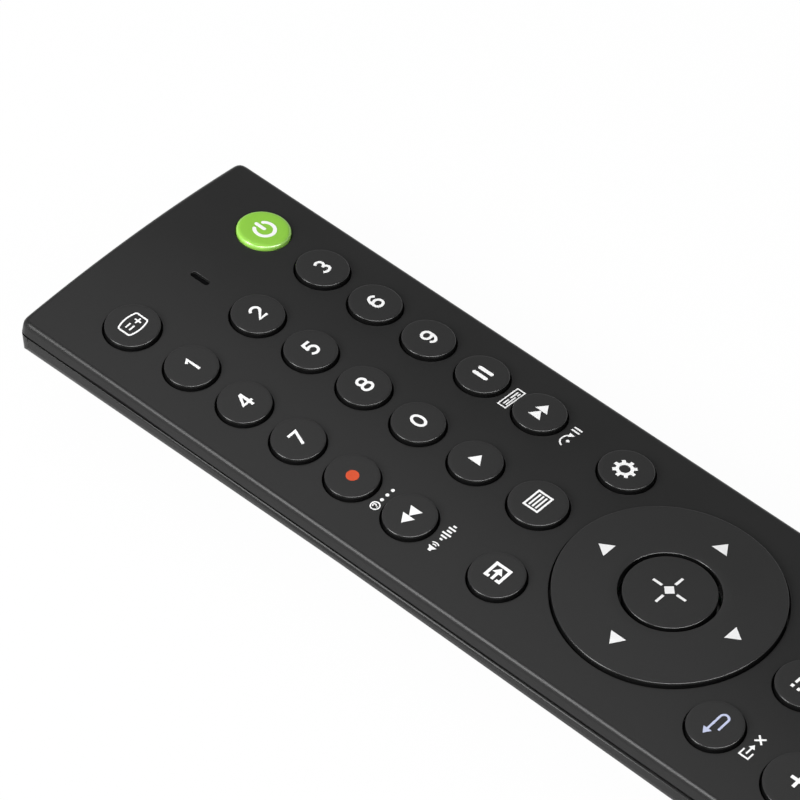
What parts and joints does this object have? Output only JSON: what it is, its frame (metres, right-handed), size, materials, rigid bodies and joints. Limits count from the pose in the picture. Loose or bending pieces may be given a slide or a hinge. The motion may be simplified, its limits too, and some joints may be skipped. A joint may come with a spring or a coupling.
{
  "type": "tv remote control",
  "caption": "Long black TV remote with round number keys, a green power key, a navigation ring, rocker keys and a sliding battery door.",
  "frame": {"origin": "on the table under the middle of the case", "axes": "+X to the right-hand key column, +Y to the infrared end, +Z out of the key side"},
  "size_m": [0.0494, 0.1908, 0.0198],
  "materials": {
    "case_black": "fine spark texture",
    "key_black": "satin, fine grain",
    "key_lime": "satin",
    "key_red": "satin",
    "key_green": "satin",
    "key_yellow": "satin",
    "key_blue": "satin",
    "ir_smoke": "polished",
    "guide_smoke": "polished",
    "led_clear": "clear",
    "silicone_grey": "matt silicone",
    "board_green": "solder mask",
    "screw_steel": "zinc plated",
    "chip_black": "moulded epoxy",
    "can_steel": "drawn can",
    "capacitor_sleeve": "shrunk sleeve",
    "cell_jacket": "printed jacket",
    "contact_steel": "nickel plated"
  },
  "bodies": {
    "case": {"upper_case": "case_black", "lower_case": "case_black", "ir_window": "ir_smoke", "indicator_light_guide": "guide_smoke", "indicator_led": "led_clear", "ir_led": "led_clear", "keypad_mat": "silicone_grey", "circuit_board": "board_green", "board_screws": "screw_steel", "controller_chip": "chip_black", "crystal": "can_steel", "capacitor": "capacitor_sleeve", "battery_left": "cell_jacket", "battery_right": "cell_jacket", "battery_contacts": "contact_steel", "battery_springs": "contact_steel"},
    "battery_door": {"battery_door": "case_black"},
    "navigation_carrier": {"navigation_carrier": "silicone_grey"},
    "key_navigation": {"key_navigation": "key_black"},
    "key_volume": {"key_volume": "key_black"},
    "key_channel": {"key_channel": "key_black"},
    "key_power": {"key_power": "key_lime"},
    "key_screen_info": {"key_screen_info": "key_black"},
    "key_1": {"key_1": "key_black"},
    "key_2": {"key_2": "key_black"},
    "key_3": {"key_3": "key_black"},
    "key_4": {"key_4": "key_black"},
    "key_5": {"key_5": "key_black"},
    "key_6": {"key_6": "key_black"},
    "key_7": {"key_7": "key_black"},
    "key_8": {"key_8": "key_black"},
    "key_9": {"key_9": "key_black"},
    "key_record": {"key_record": "key_black"},
    "key_0": {"key_0": "key_black"},
    "key_pause": {"key_pause": "key_black"},
    "key_rewind": {"key_rewind": "key_black"},
    "key_play": {"key_play": "key_black"},
    "key_forward": {"key_forward": "key_black"},
    "key_list": {"key_list": "key_black"},
    "key_input": {"key_input": "key_black"},
    "key_settings": {"key_settings": "key_black"},
    "key_ok": {"key_ok": "key_black"},
    "key_back": {"key_back": "key_black"},
    "key_home": {"key_home": "key_black"},
    "key_menu": {"key_menu": "key_black"},
    "key_mute": {"key_mute": "key_black"},
    "key_guide": {"key_guide": "key_black"},
    "key_red": {"key_red": "key_red"},
    "key_green": {"key_green": "key_green"},
    "key_yellow": {"key_yellow": "key_yellow"},
    "key_blue": {"key_blue": "key_blue"}
  },
  "joints": [
    {"name": "battery_door_slide", "type": "slide", "parent": "case", "child": "battery_door", "axis": [0, -1, 0], "range_m": [0, 0.058]},
    {"name": "navigation_tilt_up_down", "type": "hinge", "parent": "case", "child": "navigation_carrier", "pos_m": [0, -0.01265, 0.0144], "axis": [1, 0, 0], "range_deg": [-2, 2], "stiffness_Nm_per_rad": 0.6},
    {"name": "navigation_tilt_left_right", "type": "hinge", "parent": "navigation_carrier", "child": "key_navigation", "pos_m": [0, -0.01265, 0.0172], "axis": [0, 1, 0], "range_deg": [-2, 2], "stiffness_Nm_per_rad": 0.6},
    {"name": "key_volume_rock", "type": "hinge", "parent": "case", "child": "key_volume", "pos_m": [-0.01465, -0.0566, 0.01425], "axis": [1, 0, 0], "range_deg": [-2.5, 2.5], "stiffness_Nm_per_rad": 0.28},
    {"name": "key_channel_rock", "type": "hinge", "parent": "case", "child": "key_channel", "pos_m": [0.01465, -0.0566, 0.01425], "axis": [1, 0, 0], "range_deg": [-2.5, 2.5], "stiffness_Nm_per_rad": 0.28},
    {"name": "key_power_press", "type": "slide", "parent": "case", "child": "key_power", "axis": [0, 0, -1], "range_m": [0, 0.0007], "stiffness_N_per_m": 1500},
    {"name": "key_screen_info_press", "type": "slide", "parent": "case", "child": "key_screen_info", "axis": [0, 0, -1], "range_m": [0, 0.0007], "stiffness_N_per_m": 1500},
    {"name": "key_1_press", "type": "slide", "parent": "case", "child": "key_1", "axis": [0, 0, -1], "range_m": [0, 0.0007], "stiffness_N_per_m": 1500},
    {"name": "key_2_press", "type": "slide", "parent": "case", "child": "key_2", "axis": [0, 0, -1], "range_m": [0, 0.0007], "stiffness_N_per_m": 1500},
    {"name": "key_3_press", "type": "slide", "parent": "case", "child": "key_3", "axis": [0, 0, -1], "range_m": [0, 0.0007], "stiffness_N_per_m": 1500},
    {"name": "key_4_press", "type": "slide", "parent": "case", "child": "key_4", "axis": [0, 0, -1], "range_m": [0, 0.0007], "stiffness_N_per_m": 1500},
    {"name": "key_5_press", "type": "slide", "parent": "case", "child": "key_5", "axis": [0, 0, -1], "range_m": [0, 0.0007], "stiffness_N_per_m": 1500},
    {"name": "key_6_press", "type": "slide", "parent": "case", "child": "key_6", "axis": [0, 0, -1], "range_m": [0, 0.0007], "stiffness_N_per_m": 1500},
    {"name": "key_7_press", "type": "slide", "parent": "case", "child": "key_7", "axis": [0, 0, -1], "range_m": [0, 0.0007], "stiffness_N_per_m": 1500},
    {"name": "key_8_press", "type": "slide", "parent": "case", "child": "key_8", "axis": [0, 0, -1], "range_m": [0, 0.0007], "stiffness_N_per_m": 1500},
    {"name": "key_9_press", "type": "slide", "parent": "case", "child": "key_9", "axis": [0, 0, -1], "range_m": [0, 0.0007], "stiffness_N_per_m": 1500},
    {"name": "key_record_press", "type": "slide", "parent": "case", "child": "key_record", "axis": [0, 0, -1], "range_m": [0, 0.0007], "stiffness_N_per_m": 1500},
    {"name": "key_0_press", "type": "slide", "parent": "case", "child": "key_0", "axis": [0, 0, -1], "range_m": [0, 0.0007], "stiffness_N_per_m": 1500},
    {"name": "key_pause_press", "type": "slide", "parent": "case", "child": "key_pause", "axis": [0, 0, -1], "range_m": [0, 0.0007], "stiffness_N_per_m": 1500},
    {"name": "key_rewind_press", "type": "slide", "parent": "case", "child": "key_rewind", "axis": [0, 0, -1], "range_m": [0, 0.0007], "stiffness_N_per_m": 1500},
    {"name": "key_play_press", "type": "slide", "parent": "case", "child": "key_play", "axis": [0, 0, -1], "range_m": [0, 0.0007], "stiffness_N_per_m": 1500},
    {"name": "key_forward_press", "type": "slide", "parent": "case", "child": "key_forward", "axis": [0, 0, -1], "range_m": [0, 0.0007], "stiffness_N_per_m": 1500},
    {"name": "key_list_press", "type": "slide", "parent": "case", "child": "key_list", "axis": [0, 0, -1], "range_m": [0, 0.0007], "stiffness_N_per_m": 1500},
    {"name": "key_input_press", "type": "slide", "parent": "case", "child": "key_input", "axis": [0, 0, -1], "range_m": [0, 0.0007], "stiffness_N_per_m": 1500},
    {"name": "key_settings_press", "type": "slide", "parent": "case", "child": "key_settings", "axis": [0, 0, -1], "range_m": [0, 0.0007], "stiffness_N_per_m": 1500},
    {"name": "key_ok_press", "type": "slide", "parent": "key_navigation", "child": "key_ok", "axis": [0, 0, -1], "range_m": [0, 0.0007], "stiffness_N_per_m": 1500},
    {"name": "key_back_press", "type": "slide", "parent": "case", "child": "key_back", "axis": [0, 0, -1], "range_m": [0, 0.0007], "stiffness_N_per_m": 1500},
    {"name": "key_home_press", "type": "slide", "parent": "case", "child": "key_home", "axis": [0, 0, -1], "range_m": [0, 0.0007], "stiffness_N_per_m": 1500},
    {"name": "key_menu_press", "type": "slide", "parent": "case", "child": "key_menu", "axis": [0, 0, -1], "range_m": [0, 0.0007], "stiffness_N_per_m": 1500},
    {"name": "key_mute_press", "type": "slide", "parent": "case", "child": "key_mute", "axis": [0, 0, -1], "range_m": [0, 0.0007], "stiffness_N_per_m": 1500},
    {"name": "key_guide_press", "type": "slide", "parent": "case", "child": "key_guide", "axis": [0, 0, -1], "range_m": [0, 0.0007], "stiffness_N_per_m": 1500},
    {"name": "key_red_press", "type": "slide", "parent": "case", "child": "key_red", "axis": [0, 0, -1], "range_m": [0, 0.0007], "stiffness_N_per_m": 1500},
    {"name": "key_green_press", "type": "slide", "parent": "case", "child": "key_green", "axis": [0, 0, -1], "range_m": [0, 0.0007], "stiffness_N_per_m": 1500},
    {"name": "key_yellow_press", "type": "slide", "parent": "case", "child": "key_yellow", "axis": [0, 0, -1], "range_m": [0, 0.0007], "stiffness_N_per_m": 1500},
    {"name": "key_blue_press", "type": "slide", "parent": "case", "child": "key_blue", "axis": [0, 0, -1], "range_m": [0, 0.0007], "stiffness_N_per_m": 1500}
  ]
}
